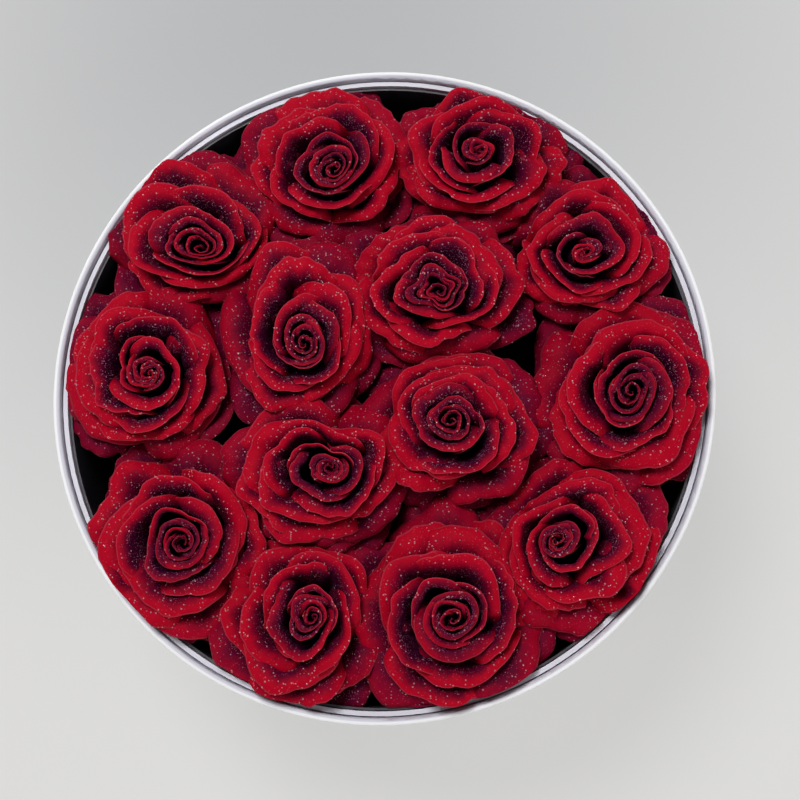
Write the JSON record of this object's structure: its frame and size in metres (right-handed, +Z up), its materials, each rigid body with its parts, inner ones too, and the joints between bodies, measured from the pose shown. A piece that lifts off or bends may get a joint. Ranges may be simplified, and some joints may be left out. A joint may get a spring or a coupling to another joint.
{
  "type": "flower box",
  "caption": "Round white board flower box with an inner sleeve, a waterproof liner and wet foam, closely planted with red cut roses that lift out one by one.",
  "frame": {"origin": "middle of the underside of the box, on the surface it stands on", "axes": "+Z up along the axis of the box, +X to the right and +Y to the top of the pictured view"},
  "size_m": [0.22, 0.22, 0.1488],
  "materials": {
    "wrapped_board": "satin",
    "base_paper": "matte",
    "sleeve_board": "satin",
    "liner": "satin",
    "floral_foam": "matte",
    "stem": "satin",
    "calyx": "satin",
    "petal": "satin"
  },
  "bodies": {
    "box": {"outer_wall": "wrapped_board", "base_board": "base_paper", "inner_sleeve": "sleeve_board"},
    "insert": {"liner": "liner", "foam_half_left": "floral_foam", "foam_half_right": "floral_foam"},
    "rose_01": {"rose_01_stem": "stem", "rose_01_calyx": "calyx", "rose_01_petals": "petal"},
    "rose_02": {"rose_02_stem": "stem", "rose_02_calyx": "calyx", "rose_02_petals": "petal"},
    "rose_03": {"rose_03_stem": "stem", "rose_03_calyx": "calyx", "rose_03_petals": "petal"},
    "rose_04": {"rose_04_stem": "stem", "rose_04_calyx": "calyx", "rose_04_petals": "petal"},
    "rose_05": {"rose_05_stem": "stem", "rose_05_calyx": "calyx", "rose_05_petals": "petal"},
    "rose_06": {"rose_06_stem": "stem", "rose_06_calyx": "calyx", "rose_06_petals": "petal"},
    "rose_07": {"rose_07_stem": "stem", "rose_07_calyx": "calyx", "rose_07_petals": "petal"},
    "rose_08": {"rose_08_stem": "stem", "rose_08_calyx": "calyx", "rose_08_petals": "petal"},
    "rose_09": {"rose_09_stem": "stem", "rose_09_calyx": "calyx", "rose_09_petals": "petal"},
    "rose_10": {"rose_10_stem": "stem", "rose_10_calyx": "calyx", "rose_10_petals": "petal"},
    "rose_11": {"rose_11_stem": "stem", "rose_11_calyx": "calyx", "rose_11_petals": "petal"},
    "rose_12": {"rose_12_stem": "stem", "rose_12_calyx": "calyx", "rose_12_petals": "petal"},
    "rose_13": {"rose_13_stem": "stem", "rose_13_calyx": "calyx", "rose_13_petals": "petal"},
    "rose_14": {"rose_14_stem": "stem", "rose_14_calyx": "calyx", "rose_14_petals": "petal"}
  },
  "joints": [
    {"name": "insert_lift", "type": "slide", "parent": "box", "child": "insert", "axis": [0, 0, 1], "range_m": [0, 0.14]},
    {"name": "rose_01_pull", "type": "slide", "parent": "insert", "child": "rose_01", "axis": [0, 0, 1], "range_m": [0, 0.14]},
    {"name": "rose_02_pull", "type": "slide", "parent": "insert", "child": "rose_02", "axis": [0, 0, 1], "range_m": [0, 0.14]},
    {"name": "rose_03_pull", "type": "slide", "parent": "insert", "child": "rose_03", "axis": [0, 0, 1], "range_m": [0, 0.14]},
    {"name": "rose_04_pull", "type": "slide", "parent": "insert", "child": "rose_04", "axis": [0, 0, 1], "range_m": [0, 0.14]},
    {"name": "rose_05_pull", "type": "slide", "parent": "insert", "child": "rose_05", "axis": [0, 0, 1], "range_m": [0, 0.14]},
    {"name": "rose_06_pull", "type": "slide", "parent": "insert", "child": "rose_06", "axis": [0, 0, 1], "range_m": [0, 0.14]},
    {"name": "rose_07_pull", "type": "slide", "parent": "insert", "child": "rose_07", "axis": [0, 0, 1], "range_m": [0, 0.14]},
    {"name": "rose_08_pull", "type": "slide", "parent": "insert", "child": "rose_08", "axis": [0, 0, 1], "range_m": [0, 0.14]},
    {"name": "rose_09_pull", "type": "slide", "parent": "insert", "child": "rose_09", "axis": [0, 0, 1], "range_m": [0, 0.14]},
    {"name": "rose_10_pull", "type": "slide", "parent": "insert", "child": "rose_10", "axis": [0, 0, 1], "range_m": [0, 0.14]},
    {"name": "rose_11_pull", "type": "slide", "parent": "insert", "child": "rose_11", "axis": [0, 0, 1], "range_m": [0, 0.14]},
    {"name": "rose_12_pull", "type": "slide", "parent": "insert", "child": "rose_12", "axis": [0, 0, 1], "range_m": [0, 0.14]},
    {"name": "rose_13_pull", "type": "slide", "parent": "insert", "child": "rose_13", "axis": [0, 0, 1], "range_m": [0, 0.14]},
    {"name": "rose_14_pull", "type": "slide", "parent": "insert", "child": "rose_14", "axis": [0, 0, 1], "range_m": [0, 0.14]}
  ]
}
